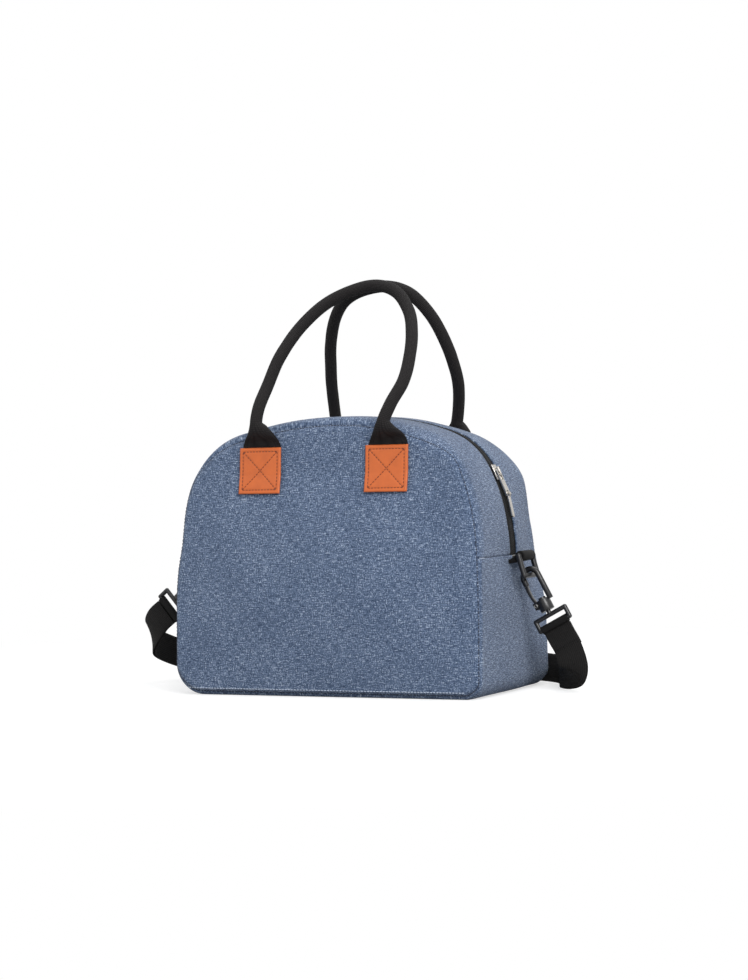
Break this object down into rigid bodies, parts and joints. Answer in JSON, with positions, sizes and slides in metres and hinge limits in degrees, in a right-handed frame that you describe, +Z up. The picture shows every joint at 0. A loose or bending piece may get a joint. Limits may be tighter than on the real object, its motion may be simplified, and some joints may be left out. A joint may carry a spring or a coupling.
{
  "type": "insulated lunch bag",
  "caption": "Arched soft insulated lunch bag with a foil lining, a zip over its top, stand-up rope handles on leather patches and a clip-on webbing shoulder strap.",
  "frame": {"origin": "middle of the bag's base, on the floor", "axes": "+Z up, the front panel faces -Y, +X towards the zip slider"},
  "size_m": [0.4242, 0.1995, 0.3517],
  "materials": {
    "shell_fabric": "heather blue polyester, slubby plain weave",
    "insulation_foam": "closed-cell foam, white",
    "foil_lining": "thin crinkled foil film",
    "webbing": "black woven webbing",
    "zip_tape": "black woven tape",
    "zip_coil": "black nylon coil",
    "zip_metal": "satin nickel plate",
    "leather": "smooth tan",
    "handle_rope": "black woven tube",
    "black_plastic": "satin black acetal",
    "steel_wire": "spring wire",
    "swivel_metal": "plated steel wire"
  },
  "bodies": {
    "bag": {"base_gusset": "shell_fabric", "base_foam": "insulation_foam", "lining_lower": "foil_lining", "front_panel_lower": "shell_fabric", "back_panel_lower": "shell_fabric", "front_foam_lower": "insulation_foam", "back_foam_lower": "insulation_foam", "right_ring_tab": "webbing", "left_ring_tab": "webbing", "zip_end_stops": "zip_metal"},
    "front_flap": {"front_panel_upper": "shell_fabric", "front_foam_upper": "insulation_foam", "front_zip_strip": "shell_fabric", "front_strip_foam": "insulation_foam", "front_lining_upper": "foil_lining", "front_zip_tape": "zip_tape", "front_zip_teeth": "zip_coil", "front_patch_left": "leather", "front_patch_right": "leather", "front_webbing_left": "webbing", "front_webbing_right": "webbing"},
    "back_flap": {"back_panel_upper": "shell_fabric", "back_foam_upper": "insulation_foam", "back_zip_strip": "shell_fabric", "back_strip_foam": "insulation_foam", "back_lining_upper": "foil_lining", "back_zip_tape": "zip_tape", "back_zip_teeth": "zip_coil", "back_patch_left": "leather", "back_patch_right": "leather", "back_webbing_left": "webbing", "back_webbing_right": "webbing"},
    "slider": {"zip_slider": "zip_metal"},
    "pull_link": {"pull_link": "zip_metal"},
    "pull_tab": {"pull_tab": "zip_metal"},
    "front_handle": {"front_handle_cover": "handle_rope", "front_handle_core": "insulation_foam"},
    "back_handle": {"back_handle_cover": "handle_rope", "back_handle_core": "insulation_foam"},
    "right_ring": {"right_ring": "black_plastic"},
    "left_ring": {"left_ring": "black_plastic"},
    "strap": {"strap_webbing": "webbing", "strap_return": "webbing", "strap_adjuster": "black_plastic", "strap_sewn_end": "webbing", "strap_turn_right": "webbing", "strap_turn_left": "webbing", "right_swivel_loop": "swivel_metal", "left_swivel_loop": "swivel_metal"},
    "right_hook": {"right_hook": "black_plastic", "right_gate_spring": "steel_wire"},
    "left_hook": {"left_hook": "black_plastic", "left_gate_spring": "steel_wire"},
    "right_gate": {"right_gate": "black_plastic"},
    "left_gate": {"left_gate": "black_plastic"}
  },
  "joints": [
    {"name": "front_flap_fold", "type": "hinge", "parent": "bag", "child": "front_flap", "pos_m": [0, -0.07708, 0.11515], "axis": [1, 0, 0], "range_deg": [0, 30], "deforming": ["front_zip_tape", "front_zip_teeth"]},
    {"name": "back_flap_fold", "type": "hinge", "parent": "bag", "child": "back_flap", "pos_m": [0, 0.07708, 0.11515], "axis": [-1, 0, 0], "range_deg": [0, 30], "deforming": ["back_zip_tape", "back_zip_teeth"]},
    {"name": "slider_run", "type": "hinge", "parent": "bag", "child": "slider", "pos_m": [-0.029, 0, 0.11505], "axis": [0, 1, 0], "range_deg": [0, 20.5]},
    {"name": "pull_link_swing", "type": "hinge", "parent": "slider", "child": "pull_link", "pos_m": [0.12868, 0, 0.18525], "axis": [0, -1, 0], "range_deg": [0, 78]},
    {"name": "pull_tab_swing", "type": "hinge", "parent": "pull_link", "child": "pull_tab", "pos_m": [0.13722, 0, 0.16607], "axis": [0, -1, 0], "range_deg": [0, 55]},
    {"name": "front_handle_fall", "type": "hinge", "parent": "front_flap", "child": "front_handle", "pos_m": [0, -0.08109, 0.2202], "axis": [1, 0, 0], "range_deg": [0, 165]},
    {"name": "back_handle_fall", "type": "hinge", "parent": "back_flap", "child": "back_handle", "pos_m": [0, 0.08109, 0.2202], "axis": [-1, 0, 0], "range_deg": [0, 165]},
    {"name": "right_ring_swing", "type": "hinge", "parent": "bag", "child": "right_ring", "pos_m": [0.1515, 0, 0.1145], "axis": [0, 1, 0], "range_deg": [0, 4]},
    {"name": "left_ring_swing", "type": "hinge", "parent": "bag", "child": "left_ring", "pos_m": [-0.1515, 0, 0.1145], "axis": [0, -1, 0], "range_deg": [0, 4]},
    {"name": "strap_swing", "type": "hinge", "parent": "bag", "child": "strap", "pos_m": [0, 0, 0.10316], "axis": [1, 0, 0], "range_deg": [0, 25]},
    {"name": "right_hook_swivel", "type": "hinge", "parent": "strap", "child": "right_hook", "pos_m": [0.15619, 0, 0.09616], "axis": [-0.4695, 0, 0.8829], "range_deg": [-20, 20]},
    {"name": "left_hook_swivel", "type": "hinge", "parent": "strap", "child": "left_hook", "pos_m": [-0.15619, 0, 0.09616], "axis": [0.766, 0, 0.6428], "range_deg": [-8, 8]},
    {"name": "right_gate_press", "type": "hinge", "parent": "right_hook", "child": "right_gate", "pos_m": [0.16216, 0, 0.07215], "axis": [0, 1, 0], "range_deg": [0, 20], "stiffness_Nm_per_rad": 0.02, "springref_deg": -8},
    {"name": "left_gate_press", "type": "hinge", "parent": "left_hook", "child": "left_gate", "pos_m": [-0.17071, 0, 0.07614], "axis": [0, -1, 0], "range_deg": [0, 20], "stiffness_Nm_per_rad": 0.02, "springref_deg": -8}
  ],
  "couplings": [
    {"joint": "back_flap_fold", "follows": "front_flap_fold", "ratio": 1},
    {"joint": "slider_run", "follows": "front_flap_fold", "ratio": 0.6833},
    {"joint": "pull_link_swing", "follows": "front_flap_fold", "ratio": 2.6}
  ]
}
